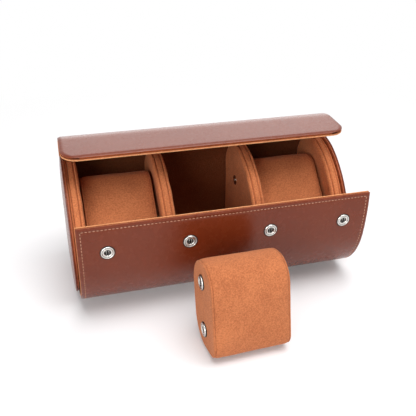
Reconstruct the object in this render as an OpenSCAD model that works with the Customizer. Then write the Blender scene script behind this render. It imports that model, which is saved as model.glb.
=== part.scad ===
// Travel case for three watches: a padded tray wrapped in leather, with a lid that
// swings up at the back, a front flap that folds forward, and three lift-out cushions.
// X runs along the case, Y towards the back, Z up. The origin is on the base.
// Lid and flap are modelled open, the middle cushion stands in front of the case.

/* [Case] */
// Length over the end panels
case_len = 230; // [226:1:240]
// Thickness of the leather
leather_t = 1.2; // [1.0:0.1:1.3]
// Thickness of the tray's stiffening board
shell_t = 1.2; // [1.0:0.1:1.4]
// Thickness of the suede lining
lining_t = 0.8; // [0.6:0.1:1.0]
// Thickness of the stiffening board in lid and flap
board_t = 1.8; // [1.4:0.1:1.8]
// Distance by which the boards stop short of the leather's edge
board_inset = 1.6; // [1.0:0.2:2.4]

/* [Section] */
// Distance from the origin to the tray's back
tray_back = 46; // [45:0.5:46]
// Radius of the tray's rounded top back edge
top_back_r = 26; // [25.5:0.5:26]
// Radius of the tray's crest
crest_r = 47; // [46:0.5:48]
// Radius of the tray's sloping front
front_r = 84; // [83:0.5:85]
// Radius of the tray's bottom back edge
bottom_back_r = 24; // [18:1:28]
// Height of the lid's turning axis
lid_axis_z = 73; // [72.5:0.5:73]

/* [Walls and cushions] */
// Thickness of the padded end walls and dividers
wall_t = 9.1; // [8.4:0.1:9.2]
// Length of the left and right slots
side_slot_len = 61.4; // [60.6:0.2:62.4]
// Rounding of the padded edges
pad_r = 3; // [2:0.5:3]
// Gap between a seated cushion's snaps and the walls' snaps
snap_gap = 0.3; // [0.3:0.1:0.8]
// Depth of a cushion
cushion_depth = 45; // [44:0.5:48]
// Height of a cushion
cushion_height = 67; // [62:0.5:68]

/* [Lid and flap] */
// Straight run of the lid's front
lid_front = 31; // [29:0.5:31]
// Radius of the lid's front corners
lid_corner_r = 13; // [8:1:16]
// Distance by which the flap stops short of the case's ends
flap_end_gap = 4; // [3:0.5:8]

/* [Snaps] */
// Radius of a snap socket's ring
socket_r = 5; // [4.2:0.1:5.2]
// Radius of a snap socket's hole
socket_hole_r = 2; // [1.9:0.05:2.2]
// Height of a snap half above its seat
snap_h = 0.7; // [0.5:0.05:0.7]
// Distance from the middle of the case to the inner snaps
inner_snap_x = 31.2; // [28:0.2:34]
// Distance from the end of the case to the outer snaps
outer_snap_edge = 23.6; // [21:0.2:27]

/* [Hidden] */

LEFT = -1;
MIDDLE = 0;
RIGHT = 1;

leather_colour = "#7a3c2a";
suede_colour = "#c87a4a";
board_colour = "#6b5a48";
foam_colour = "#e6dcc8";
nickel_colour = "#c9c9c6";

// Angles between two points of an arc, and the radius above which the fine one is used
coarse_step = 5;
fine_step = 2.5;
fine_radius = 40;
// Play left between pieces that only lie against each other
play = 0.1;
// Clearance between pieces that move past each other
clearance = 0.4;

// Total build-up of lid and flap
panel_t = leather_t + board_t + lining_t;
wrap_t = shell_t + leather_t;
end_t = wrap_t;
half_len = case_len / 2;

// Arcs are [centre, radius, first normal angle, last normal angle] in the Y-Z section.
// A normal angle of 0 faces the back, 90 faces up, 180 faces the front, 270 faces down.
function polar(c, r, a) = [c[0] + r * cos(a), c[1] + r * sin(a)];
function reversed(v) = [for (i = [len(v) - 1 : -1 : 0]) v[i]];
// Both ends and the whole steps between them, so that layers of one arc share their facets
function rising_angles(a0, a1, step) =
    concat([a0], [for (k = [floor(a0 / step) + 1 : 1 : ceil(a1 / step) - 1]) k * step], [a1]);
function angles(a0, a1, step) =
    a0 == a1 ? [a0] :
    a0 < a1 ? rising_angles(a0, a1, step) : reversed(rising_angles(a1, a0, step));
function arc(c, r, a0, a1, step = coarse_step) = [for (a = angles(a0, a1, step)) polar(c, r, a)];
// Points of a run of arcs moved outwards by d; straight stretches join the arcs
function run(path, d = 0) = [for (s = path)
    each arc(s[0], s[1] + d, s[2], s[3], s[1] > fine_radius ? fine_step : coarse_step)];
// The same points with both ends drawn in by d
function toward(p, q, d) = p + (q - p) * d / norm(q - p);
function drawn_in(v, d) = let(n = len(v) - 1)
    [for (i = [0 : n]) i == 0 ? toward(v[0], v[1], d) : i == n ? toward(v[n], v[n - 1], d) : v[i]];
// Closed outline of the layer between two offsets of a run of arcs
function band(path, inner, outer, inset = 0) =
    concat(drawn_in(run(path, outer), inset), reversed(drawn_in(run(path, inner), inset)));
// Centre of an arc of radius r2 that carries on smoothly from an arc at angle a
function next_centre(c, r, a, r2) = polar(c, r - r2, a);

// Tray section
tray_floor = wrap_t;
lid_axis = [tray_back - top_back_r, lid_axis_z];
crest_end = 122;
crest_c = next_centre(lid_axis, top_back_r, 90, crest_r);
front_c = next_centre(crest_c, crest_r, crest_end, front_r);
front_end = 165;
// The bottom front edge rounds under from where the sloping front ends
front_low = polar(front_c, front_r, front_end);
bottom_front_r = (front_low[1] - tray_floor) / (1 + sin(front_end));
bottom_front_c = next_centre(front_c, front_r, front_end, bottom_front_r);
bottom_back_c = [tray_back - bottom_back_r, tray_floor + bottom_back_r];
tray_path = [
    [bottom_back_c, bottom_back_r, 270, 360],
    [lid_axis, top_back_r, 0, 90],
    [crest_c, crest_r, 90, crest_end],
    [front_c, front_r, crest_end, front_end],
    [bottom_front_c, bottom_front_r, front_end, 270]
];
// Walls stand inside the tray with a little play
wall_path = [for (s = tray_path) [s[0], s[1] - play, s[2], s[3]]];
// The wrap reaches from the front lip under the base and up over the top back edge
wrap_top = 84;
shell_lip = 200;
lining_lip = 190;
function wrap_path(lip) = [
    [bottom_front_c, bottom_front_r, lip, 270],
    [bottom_back_c, bottom_back_r, 270, 360],
    [lid_axis, top_back_r, 0, wrap_top]
];
// The leather rounds the bottom front edge, then runs straight on to the flap's fold
fold_r = 3;
fold_start = 255;
fold_run = 18.5;
fold_axis = polar(bottom_front_c, bottom_front_r + wrap_t - fold_r, fold_start)
    + fold_run * [sin(fold_start), -cos(fold_start)];
fold_end = 165;
leather_path = [
    [fold_axis, fold_r - wrap_t, fold_end, fold_start],
    [bottom_front_c, bottom_front_r, fold_start, 270],
    [bottom_back_c, bottom_back_r, 270, 360],
    [lid_axis, top_back_r, 0, wrap_top]
];

// Flap section, open
flap_toe_set = [8.3, 37.75];
flap_toe_r = 41;
flap_belly_r = 60;
flap_top_r = 175;
flap_toe_a = 252.5;
flap_belly_a = 215;
flap_upper_a = 190;
flap_edge_a = 177.5;
flap_toe_c = fold_axis + flap_toe_set;
flap_belly_c = next_centre(flap_toe_c, flap_toe_r, flap_belly_a, flap_belly_r);
flap_top_c = next_centre(flap_belly_c, flap_belly_r, flap_upper_a, flap_top_r);
flap_path = [
    [flap_toe_c, flap_toe_r, flap_toe_a, flap_belly_a],
    [flap_belly_c, flap_belly_r, flap_belly_a, flap_upper_a],
    [flap_top_c, flap_top_r, flap_upper_a, flap_edge_a]
];
function degrees_of(length, r) = length / r * 180 / PI;
flap_snap_drop = 21.5;
flap_snap_a = flap_edge_a + degrees_of(flap_snap_drop, flap_top_r);
flap_snap_p = polar(flap_top_c, flap_top_r, flap_snap_a);

// Lid section, open; its back edge turns about the lid axis over the wrap
lid_r = top_back_r + wrap_t + clearance + panel_t;
lid_back_a = 30;
lid_rise_a = 37;
lid_rise = 20.9;
lid_crown_r = 30;
lid_front_a = 95.5;
lid_crown_c = polar(lid_axis, lid_r - lid_crown_r, lid_rise_a)
    + lid_rise * [-sin(lid_rise_a), cos(lid_rise_a)];
lid_front_dir = [-sin(lid_front_a), cos(lid_front_a)];
lid_path = [
    [lid_axis, lid_r, lid_back_a, lid_rise_a],
    [lid_crown_c, lid_crown_r, lid_rise_a, lid_front_a],
    [lid_crown_c + lid_front * lid_front_dir, lid_crown_r, lid_front_a, lid_front_a]
];
lid_edge_p = polar(lid_crown_c + lid_front * lid_front_dir, lid_crown_r, lid_front_a);
lid_snap_inset = 12;

// Snap details
outer_snap_x = half_len - outer_snap_edge;
ring_slope = 0.6;
ring_step = 0.8;
knob_neck = 0.4;
knob_round = 0.15;
socket_post_r = 2.9;
socket_back_r = 4;
socket_back_t = 0.6;
stud_flange_r = 4.4;
stud_flange_t = 0.3;
stud_knob_r = 1.8;
stud_post_r = 1.2;
stud_post_len = 2.2;
bore_play = 0.05;
snap_row = [-outer_snap_x, -inner_snap_x, inner_snap_x, outer_snap_x];
// The sockets sit this far off the curved leather, so that their flat rims clear it
seat_gap = 0.1;

// Walls: distance from the middle of the case to the middle of an end wall
wall_x = half_len - end_t - wall_t / 2;
divider_x = wall_x - wall_t - side_slot_len;
wall_board_t = 3;
wall_board_inset = 4;
function wall_pos(side, is_divider) = side * (is_divider ? divider_x : wall_x);
// Slots: first and last X of the room between two walls
slot_edge_out = wall_x - wall_t / 2;
slot_edge_in = divider_x + wall_t / 2;
slot_x = [
    [-slot_edge_out, -slot_edge_in],
    [-divider_x + wall_t / 2, divider_x - wall_t / 2],
    [slot_edge_in, slot_edge_out]
];

// Cushion: section about its own middle, standing upright
cushion_len = side_slot_len - 2 * (2 * snap_h + snap_gap);
cushion_rim = 5;
cushion_wall = 1.4;
cushion_corners = [22, 22, 18, 10];
function cushion_arc(i, r) = let(
        y = cushion_depth / 2 - r,
        z = cushion_height / 2 - r,
        signs = [[1, -1], [1, 1], [-1, 1], [-1, -1]])
    [[signs[i][0] * y, signs[i][1] * z], r, 270 + 90 * i, 360 + 90 * i];
cushion_path = [for (i = [0 : 3]) cushion_arc(i, cushion_corners[i])];
// Snaps sit above and below the middle of each cushion end
cushion_snap_v = 18;
// A seated cushion leans back with its face along the tray's front
cushion_lean = 43;
seat_forward = 14;
seat_below = 20.8;
seat_p = lid_axis - [seat_forward, seat_below];
seat_mid_x = (slot_edge_in + slot_edge_out) / 2;
// The middle cushion stands in front of the flap, a little turned
free_x = -4;
free_gap = 15;
free_y = flap_top_c[0] - flap_top_r - free_gap - cushion_depth / 2;
free_lean = 10;
free_turn = 2;
free_corner = cushion_corners[0];
free_z = free_corner + (cushion_height / 2 - free_corner) * cos(free_lean)
    + (cushion_depth / 2 - free_corner) * sin(free_lean);
free_p = [free_x, free_y, free_z];

// Extrudes a Y-Z section along X
module along_x(x0, x1) {
    translate([x0, 0, 0])
        rotate([90, 0, 90])
            linear_extrude(x1 - x0)
                children();
}

// Puts children at a point of the section, their Z along the normal angle
module on_section(p, a) {
    translate([0, p[0], p[1]])
        rotate([a - 90, 0, 0])
            children();
}

// Solid through matching rings of points, from the lowest X to the highest
module loft(rings) {
    n = len(rings[0]);
    last = len(rings) - 1;
    points = [for (ring = rings) each ring];
    sides = [for (k = [0 : last - 1], i = [0 : n - 1])
        [k * n + i, k * n + (i + 1) % n, (k + 1) * n + (i + 1) % n, (k + 1) * n + i]];
    polyhedron(
        points = points,
        faces = concat([[for (i = [n - 1 : -1 : 0]) i]], sides, [[for (i = [0 : n - 1]) last * n + i]])
    );
}

// Padded slab of a section, its rim rounded with radius r on both sides
rim_steps = 3;
function rim_ring(path, x, inset) = [for (p = run(path, -inset)) [x, p[0], p[1]]];
module padded_slab(path, x0, x1, r) {
    first = [for (k = [0 : rim_steps]) let(t = 90 * k / rim_steps)
        rim_ring(path, x0 + r * (1 - cos(t)), r * (1 - sin(t)))];
    second = [for (k = [rim_steps : -1 : 0]) let(t = 90 * k / rim_steps)
        rim_ring(path, x1 - r * (1 - cos(t)), r * (1 - sin(t)))];
    loft(concat(first, second));
}

// Takes the two front corners off a panel whose front edge lies on Y = 0
module front_corner_cut(half, r) {
    for (side = [LEFT, RIGHT])
        scale([side, 1, 1])
            translate([0, 0, -panel_t * 2])
                linear_extrude(panel_t * 4)
                    polygon(concat([[half + 1, r]], arc([half - r, r], r, 0, -90), [[half - r, -1], [half + 1, -1]]));
}

// Snap halves on Z = 0, facing +Z
module socket_ring() {
    rotate_extrude($fn = 48)
        polygon([[socket_hole_r, 0], [socket_r, 0], [socket_r, snap_h / 3], [socket_r - ring_slope, snap_h],
            [socket_hole_r + ring_step, snap_h], [socket_hole_r, snap_h / 2]]);
}
module stud(post_len) {
    cylinder(r = stud_flange_r, h = stud_flange_t, $fn = 48);
    translate([0, 0, -post_len])
        cylinder(r = stud_post_r, h = post_len + stud_flange_t, $fn = 32);
    rotate_extrude($fn = 32)
        polygon([[0, stud_flange_t], [stud_knob_r - knob_neck, stud_flange_t], [stud_knob_r, snap_h - knob_round],
            [stud_knob_r - knob_round, snap_h], [0, snap_h]]);
}

// Leather wrap: front fold, base, back and the bend over the top back edge
module outer_leather() {
    color(leather_colour)
        along_x(-half_len + end_t, half_len - end_t)
            polygon(band(leather_path, shell_t, wrap_t));
}

// Stiff tray board under the base, up the back and over the top back edge
module tray_shell() {
    color(board_colour)
        along_x(-half_len + end_t, half_len - end_t)
            polygon(band(wrap_path(shell_lip), 0, shell_t));
}

// Suede lining of one slot, from wall to wall
module slot_lining(slot) {
    color(suede_colour)
        along_x(slot_x[slot + 1][0], slot_x[slot + 1][1])
            polygon(band(wrap_path(lining_lip), -lining_t, 0));
}

// Leather over one end of the case
module end_leather(side) {
    x = side * (half_len - leather_t / 2);
    color(leather_colour)
        along_x(x - leather_t / 2, x + leather_t / 2)
            polygon(run(tray_path, wrap_t));
}

// Board behind the leather of one end
module end_board(side) {
    x = side * (half_len - leather_t - shell_t / 2);
    color(board_colour)
        along_x(x - shell_t / 2, x + shell_t / 2)
            polygon(run(tray_path, wrap_t - board_inset / 2));
}

// Section room that the stiffener inside a wall fills
module wall_core(side, is_divider, shrink) {
    x = wall_pos(side, is_divider);
    t = wall_board_t / 2 - shrink;
    along_x(x - t, x + t)
        polygon(run(tray_path, -wall_board_inset - shrink));
}

// Places children at each snap of a wall face that looks towards the given side
module at_wall_snaps(x, facing) {
    for (v = [-cushion_snap_v, cushion_snap_v])
        translate([x, seat_p[0], seat_p[1]])
            rotate([-cushion_lean, 0, 0])
                translate([0, 0, v])
                    rotate([0, 90 * facing, 0])
                        children();
}

// Faces of a wall that carry snaps
function snap_faces(side, is_divider) = is_divider ? [LEFT, RIGHT] : [-side];

// Foam-padded wall covered in suede
module wall(side, is_divider) {
    x = wall_pos(side, is_divider);
    color(suede_colour)
        difference() {
            padded_slab(wall_path, x - wall_t / 2, x + wall_t / 2, pad_r);
            wall_core(side, is_divider, 0);
            for (facing = snap_faces(side, is_divider))
                at_wall_snaps(x + facing * wall_t / 2, facing)
                    translate([0, 0, -stud_post_len - bore_play])
                        cylinder(r = stud_post_r + bore_play, h = stud_post_len + 1, $fn = 32);
        }
}

// Stiffener inside a wall
module wall_board(side, is_divider) {
    color(board_colour)
        wall_core(side, is_divider, bore_play);
}

// Snap studs on the faces of a wall
module wall_studs(side, is_divider) {
    x = wall_pos(side, is_divider);
    color(nickel_colour)
        for (facing = snap_faces(side, is_divider))
            at_wall_snaps(x + facing * wall_t / 2, facing)
                stud(stud_post_len);
}

// One layer of the lid between two depths below its outer face
module lid_layer(top, bottom, inset) {
    half = half_len - inset;
    difference() {
        along_x(-half, half)
            polygon(band(lid_path, -bottom, -top, inset));
        on_section(lid_edge_p, lid_front_a)
            translate([0, inset, 0])
                front_corner_cut(half, lid_corner_r - inset);
    }
}
module at_lid_snaps() {
    for (x = snap_row)
        on_section(lid_edge_p, lid_front_a)
            translate([x, lid_snap_inset, -panel_t])
                rotate([180, 0, 0])
                    children();
}
module lid_post_bores() {
    at_lid_snaps()
        translate([0, 0, -panel_t])
            cylinder(r = stud_post_r + bore_play, h = panel_t + 1, $fn = 32);
}
module lid_leather() {
    color(leather_colour)
        lid_layer(0, leather_t, 0);
}
module lid_board() {
    color(board_colour)
        difference() {
            lid_layer(leather_t, leather_t + board_t, board_inset);
            lid_post_bores();
        }
}
module lid_lining() {
    color(suede_colour)
        difference() {
            lid_layer(leather_t + board_t, panel_t, 0);
            lid_post_bores();
        }
}
module lid_snap_studs() {
    color(nickel_colour)
        at_lid_snaps()
            stud(lining_t + board_t - bore_play);
}

// One layer of the flap between two depths below its outer face
module flap_layer(top, bottom, inset) {
    half = half_len - flap_end_gap - inset;
    difference() {
        along_x(-half, half)
            polygon(band(flap_path, -bottom, -top, inset));
        at_flap_snaps()
            translate([0, 0, -panel_t - 1])
                cylinder(r = socket_post_r + bore_play, h = panel_t + 2, $fn = 48);
    }
}
module at_flap_snaps() {
    for (x = snap_row)
        on_section(flap_snap_p, flap_snap_a)
            translate([x, 0, 0])
                children();
}
module flap_leather() {
    color(leather_colour)
        flap_layer(0, leather_t, 0);
}
module flap_board() {
    color(board_colour)
        flap_layer(leather_t, leather_t + board_t, board_inset);
}
module flap_lining() {
    color(suede_colour)
        flap_layer(leather_t + board_t, panel_t, 0);
}
module flap_snap_sockets() {
    color(nickel_colour)
        at_flap_snaps() {
            translate([0, 0, seat_gap])
                socket_ring();
            translate([0, 0, -panel_t])
                difference() {
                    cylinder(r = socket_post_r, h = panel_t + seat_gap, $fn = 48);
                    translate([0, 0, -1])
                        cylinder(r = socket_hole_r, h = panel_t + 2, $fn = 48);
                }
        }
}
module flap_snap_backs() {
    color(nickel_colour)
        at_flap_snaps()
            translate([0, 0, -panel_t - seat_gap - socket_back_t])
                cylinder(r = socket_back_r, h = socket_back_t, $fn = 48);
}

// Puts a cushion, built about its own middle, where it belongs
module place_cushion(slot) {
    if (slot == MIDDLE)
        translate(free_p)
            rotate([0, 0, free_turn])
                rotate([-free_lean, 0, 0])
                    children();
    else
        translate([slot * seat_mid_x, seat_p[0], seat_p[1]])
            rotate([-cushion_lean, 0, 0])
                children();
}
module cushion_snap_places() {
    for (facing = [LEFT, RIGHT], v = [-cushion_snap_v, cushion_snap_v])
        translate([facing * cushion_len / 2, 0, v])
            rotate([0, 90 * facing, 0])
                children();
}
module cushion_room(shrink) {
    half = cushion_len / 2 - cushion_wall - shrink;
    along_x(-half, half)
        polygon(run(cushion_path, -cushion_wall - cushion_rim / 2 - shrink));
}
module cushion_cover(slot) {
    color(suede_colour)
        place_cushion(slot)
            difference() {
                padded_slab(cushion_path, -cushion_len / 2, cushion_len / 2, cushion_rim);
                cushion_room(0);
            }
}
module cushion_core(slot) {
    color(foam_colour)
        place_cushion(slot)
            cushion_room(bore_play);
}
module cushion_snaps(slot) {
    color(nickel_colour)
        place_cushion(slot)
            cushion_snap_places()
                socket_ring();
}

outer_leather();
tray_shell();
slot_lining(LEFT);  // slot_lining_left
slot_lining(MIDDLE);  // slot_lining_middle
slot_lining(RIGHT);  // slot_lining_right
end_leather(LEFT);  // end_leather_left
end_leather(RIGHT);  // end_leather_right
end_board(LEFT);  // end_board_left
end_board(RIGHT);  // end_board_right
wall(LEFT, false);  // wall_left
wall(RIGHT, false);  // wall_right
wall(LEFT, true);  // divider_left
wall(RIGHT, true);  // divider_right
wall_board(LEFT, false);  // wall_board_left
wall_board(RIGHT, false);  // wall_board_right
wall_board(LEFT, true);  // divider_board_left
wall_board(RIGHT, true);  // divider_board_right
wall_studs(LEFT, false);  // wall_studs_left
wall_studs(RIGHT, false);  // wall_studs_right
wall_studs(LEFT, true);  // divider_studs_left
wall_studs(RIGHT, true);  // divider_studs_right
lid_leather();
lid_board();
lid_lining();
lid_snap_studs();
flap_leather();
flap_board();
flap_lining();
flap_snap_sockets();
flap_snap_backs();
cushion_cover(LEFT);  // cushion_left_cover
cushion_core(LEFT);  // cushion_left_core
cushion_snaps(LEFT);  // cushion_left_snaps
cushion_cover(MIDDLE);  // cushion_middle_cover
cushion_core(MIDDLE);  // cushion_middle_core
cushion_snaps(MIDDLE);  // cushion_middle_snaps
cushion_cover(RIGHT);  // cushion_right_cover
cushion_core(RIGHT);  // cushion_right_core
cushion_snaps(RIGHT);  // cushion_right_snaps
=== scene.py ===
"""Looks of a leather travel case for three watches, built round its CAD model."""

import math

import bmesh
import bpy
from bpy.props import FloatProperty, FloatVectorProperty, IntProperty, PointerProperty
from mathutils import Matrix, Vector, noise


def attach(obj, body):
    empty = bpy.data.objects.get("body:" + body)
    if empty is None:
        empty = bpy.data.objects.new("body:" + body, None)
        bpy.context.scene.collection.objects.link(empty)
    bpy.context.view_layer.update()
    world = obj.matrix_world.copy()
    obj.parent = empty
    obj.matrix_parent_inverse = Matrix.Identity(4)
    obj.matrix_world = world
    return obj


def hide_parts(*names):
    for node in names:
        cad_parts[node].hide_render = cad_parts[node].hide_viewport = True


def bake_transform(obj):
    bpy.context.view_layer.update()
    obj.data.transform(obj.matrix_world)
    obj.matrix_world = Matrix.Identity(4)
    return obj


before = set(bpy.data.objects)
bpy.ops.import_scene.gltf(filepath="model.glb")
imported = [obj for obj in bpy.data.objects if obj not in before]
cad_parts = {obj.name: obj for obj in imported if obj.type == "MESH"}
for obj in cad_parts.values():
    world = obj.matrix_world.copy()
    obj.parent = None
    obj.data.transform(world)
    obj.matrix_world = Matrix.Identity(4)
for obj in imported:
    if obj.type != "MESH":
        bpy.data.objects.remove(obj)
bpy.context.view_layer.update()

bl_info = {
    "name": "Watch Travel Case",
    "version": (1, 0, 0),
    "blender": (4, 5, 0),
    "location": "View3D > Sidebar > Travel Case",
    "description": "Leather, suede, cushions, seams and snaps of a case for three watches",
    "category": "Object",
}

MM = 0.001


# Section geometry, in millimetres: the same arcs as the case's construction.
# An arc is (centre, radius, first normal angle, last normal angle) in the Y-Z plane.


def polar(centre, radius, angle):
    a = math.radians(angle)
    return (centre[0] + radius * math.cos(a), centre[1] + radius * math.sin(a))


def next_centre(centre, radius, angle, next_radius):
    return polar(centre, radius - next_radius, angle)


# Thicknesses of the layers, and of the lid's and flap's panels
LEATHER = 1.2
SHELL = 1.2
LINING = 0.8
BOARD = 1.8
PANEL = LEATHER + BOARD + LINING
WRAP = SHELL + LEATHER
# The leather is turned over at its edges, and the lining's edge is a little fuller too
TURNED_EDGE = 2.0
LINING_EDGE = 1.15

# Along the case: its half length, the flap's, and the walls between the slots
HALF_LENGTH = 115.0
FLAP_HALF = 112.2
WALL = 9.1
WALL_X = HALF_LENGTH - WRAP - WALL / 2
SIDE_SLOT = 61.4
DIVIDER_X = WALL_X - WALL - SIDE_SLOT
WALL_SEAM = 2.35
SNAP_XS = (-91.4, -31.2, 31.2, 91.4)
SNAP_HEIGHT = 0.7
STUD_FROM_EDGE = 12

# Outline of the tray's inside, which the walls share
LID_AXIS = (20.0, 73.0)
TOP_BACK_R = 26.0
CREST_R = 47
CREST_END = 122
FRONT_R = 84
FRONT_END = 165
CREST_C = next_centre(LID_AXIS, TOP_BACK_R, 90, CREST_R)
FRONT_C = next_centre(CREST_C, CREST_R, CREST_END, FRONT_R)
FRONT_FOOT = polar(FRONT_C, FRONT_R, FRONT_END)
BOTTOM_FRONT_R = (FRONT_FOOT[1] - WRAP) / (1 + math.sin(math.radians(FRONT_END)))
BOTTOM_FRONT_C = next_centre(FRONT_C, FRONT_R, FRONT_END, BOTTOM_FRONT_R)
BOTTOM_BACK_R = 24
BOTTOM_BACK_C = (22.0, WRAP + BOTTOM_BACK_R)
TRAY = [
    (BOTTOM_BACK_C, BOTTOM_BACK_R, 270, 360),
    (LID_AXIS, TOP_BACK_R, 0, 90),
    (CREST_C, CREST_R, 90, CREST_END),
    (FRONT_C, FRONT_R, CREST_END, FRONT_END),
    (BOTTOM_FRONT_C, BOTTOM_FRONT_R, FRONT_END, 270),
]

# The fold in front of the base, where the flap turns
FOLD_R = 3.0
FOLD_START = 255
FOLD_RUN = 18.5
_tangent = polar(BOTTOM_FRONT_C, BOTTOM_FRONT_R + WRAP - FOLD_R, FOLD_START)
FOLD_AXIS = (
    _tangent[0] + FOLD_RUN * math.sin(math.radians(FOLD_START)),
    _tangent[1] - FOLD_RUN * math.cos(math.radians(FOLD_START)),
)

FLAP_TOE_R = 41
FLAP_BELLY_R = 60
FLAP_TOP_R = 175
FLAP_EDGE_ANGLE = 177.5
FLAP_TOE_C = (FOLD_AXIS[0] + 8.3, FOLD_AXIS[1] + 37.75)
FLAP_BELLY_C = next_centre(FLAP_TOE_C, FLAP_TOE_R, 215, FLAP_BELLY_R)
FLAP_TOP_C = next_centre(FLAP_BELLY_C, FLAP_BELLY_R, 190, FLAP_TOP_R)
FLAP = [
    (FLAP_TOE_C, FLAP_TOE_R, 252.5, 215),
    (FLAP_BELLY_C, FLAP_BELLY_R, 215, 190),
    (FLAP_TOP_C, FLAP_TOP_R, 190, FLAP_EDGE_ANGLE),
]
SNAP_FROM_EDGE = 21.5
FLAP_SNAP_ANGLE = FLAP_EDGE_ANGLE + math.degrees(SNAP_FROM_EDGE / FLAP_TOP_R)
FLAP_SNAP = polar(FLAP_TOP_C, FLAP_TOP_R, FLAP_SNAP_ANGLE)

# The lid's outer face: round its hinge, a straight rise, the crown, and its flat front
LID_R = TOP_BACK_R + WRAP + 0.4 + PANEL
LID_START = 30
LID_BEND = 37
LID_RISE = 20.9
LID_CROWN_R = 30.0
LID_FRONT_ANGLE = 95.5
LID_FRONT = 31.0
_start = polar(LID_AXIS, LID_R - LID_CROWN_R, LID_BEND)
LID_CROWN_C = (
    _start[0] - LID_RISE * math.sin(math.radians(LID_BEND)),
    _start[1] + LID_RISE * math.cos(math.radians(LID_BEND)),
)
LID_DIR = (-math.sin(math.radians(LID_FRONT_ANGLE)), math.cos(math.radians(LID_FRONT_ANGLE)))
LID_END_C = (
    LID_CROWN_C[0] + LID_FRONT * LID_DIR[0],
    LID_CROWN_C[1] + LID_FRONT * LID_DIR[1],
)
LID_CORNER_R = 13.0
LID = [
    (LID_AXIS, LID_R, LID_START, LID_BEND),
    (LID_CROWN_C, LID_CROWN_R, LID_BEND, LID_FRONT_ANGLE),
    (LID_END_C, LID_CROWN_R, LID_FRONT_ANGLE, LID_FRONT_ANGLE),
]
LID_EDGE = polar(LID_END_C, LID_CROWN_R, LID_FRONT_ANGLE)

# The cushions: two stand in their slots with a lean, the middle one stands in front
CUSHION_LEN = SIDE_SLOT - 2 * (2 * SNAP_HEIGHT + 0.3)
CUSHION_DEPTH = 45.0
CUSHION_HEIGHT = 67.0
CUSHION_CORNERS = (22.0, 22.0, 18.0, 10.0)
CUSHION_SNAP_V = 18.0
CUSHION_LEAN = 43.0
SEAT = (LID_AXIS[0] - 14, LID_AXIS[1] - 20.8)
SEAT_X = (DIVIDER_X + WALL_X) / 2
FREE_LEAN = 10.0
FREE_TURN = 2.0
FREE_X = -4.0
FREE_GAP = 15


def free_place():
    """Middle of the cushion that stands in front, clear of the flap's foremost line."""
    r = CUSHION_CORNERS[0]
    z = (
        r
        + (CUSHION_HEIGHT / 2 - r) * math.cos(math.radians(FREE_LEAN))
        + (CUSHION_DEPTH / 2 - r) * math.sin(math.radians(FREE_LEAN))
    )
    return (FREE_X, FLAP_TOP_C[0] - FLAP_TOP_R - FREE_GAP - CUSHION_DEPTH / 2, z)


def sampled(path, spacing, closed=False):
    """Points along a run of arcs and the straight stretches between them.
    Each is (y, z, normal y, normal z, distance from the start)."""
    raw = []

    def add(point, angle):
        if raw and math.dist(raw[-1][0], point) < 1e-6:
            return
        raw.append((point, angle))

    stretches = list(path) + ([path[0]] if closed else [])
    for i, (centre, radius, a0, a1) in enumerate(stretches):
        if raw:
            start = polar(centre, radius, a0)
            gap = math.dist(raw[-1][0], start)
            before = raw[-1][0]
            n = max(1, round(gap / spacing))
            for k in range(1, n + 1):
                t = k / n
                add([before[i] + (start[i] - before[i]) * t for i in (0, 1)], a0)
        if closed and i == len(path):
            break
        n = max(1, math.ceil(abs(math.radians(a1 - a0)) * radius / spacing))
        for k in range(n + 1):
            a = a0 + (a1 - a0) * k / n
            add(polar(centre, radius, a), a)
    if closed and math.dist(raw[0][0], raw[-1][0]) < 1e-6:
        raw.pop()
    points, run = [], 0.0
    for i, (p, a) in enumerate(raw):
        if i:
            run += math.dist(raw[i - 1][0], p)
        r = math.radians(a)
        points.append((p[0], p[1], math.cos(r), math.sin(r), run))
    return points


def on_section(point, angle, x=0.0, lift=0.0):
    """Matrix that puts a shape's +Z along the normal at a point of the section, in metres."""
    p = polar(point, lift, angle)
    return Matrix.Translation(Vector((x, p[0], p[1])) * MM) @ Matrix.Rotation(
        math.radians(angle - 90), 4, "X"
    )


# Materials


def new_group(name, inputs):
    """A group with a place, a colour and more for inputs; it gives colour, roughness, height."""
    tree = bpy.data.node_groups.new(name, "ShaderNodeTree")
    tree.interface.new_socket("Vector", in_out="INPUT", socket_type="NodeSocketVector")
    for label, kind, value in inputs:
        s = tree.interface.new_socket(label, in_out="INPUT", socket_type=kind)
        s.default_value = value
    tree.interface.new_socket("Color", in_out="OUTPUT", socket_type="NodeSocketColor")
    tree.interface.new_socket("Roughness", in_out="OUTPUT", socket_type="NodeSocketFloat")
    tree.interface.new_socket("Height", in_out="OUTPUT", socket_type="NodeSocketFloat")
    return tree, tree.nodes.new("NodeGroupInput"), tree.nodes.new("NodeGroupOutput")


def give(tree, end, colour, roughness, height):
    tree.links.new(colour, end.inputs["Color"])
    tree.links.new(roughness, end.inputs["Roughness"])
    tree.links.new(height, end.inputs["Height"])


def mix_colour(tree, factor, a, b, blend="MIX"):
    m = tree.nodes.new("ShaderNodeMix")
    m.data_type = "RGBA"
    m.blend_type = blend
    for socket, value in ((m.inputs[0], factor), (m.inputs[6], a), (m.inputs[7], b)):
        if isinstance(value, bpy.types.NodeSocket):
            tree.links.new(value, socket)
        elif isinstance(value, (int, float)):
            socket.default_value = value
        else:
            socket.default_value = (*value, 1)
    return m.outputs[2]


def ramp(tree, source, low, high, to_low=0.0, to_high=1.0):
    m = tree.nodes.new("ShaderNodeMapRange")
    m.inputs["From Min"].default_value = low
    m.inputs["From Max"].default_value = high
    m.inputs["To Min"].default_value = to_low
    m.inputs["To Max"].default_value = to_high
    tree.links.new(source, m.inputs["Value"])
    return m.outputs["Result"]


def arithmetic(tree, operation, a, b):
    m = tree.nodes.new("ShaderNodeMath")
    m.operation = operation
    for socket, value in ((m.inputs[0], a), (m.inputs[1], b)):
        if isinstance(value, bpy.types.NodeSocket):
            tree.links.new(value, socket)
        else:
            socket.default_value = value
    return m.outputs[0]


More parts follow.
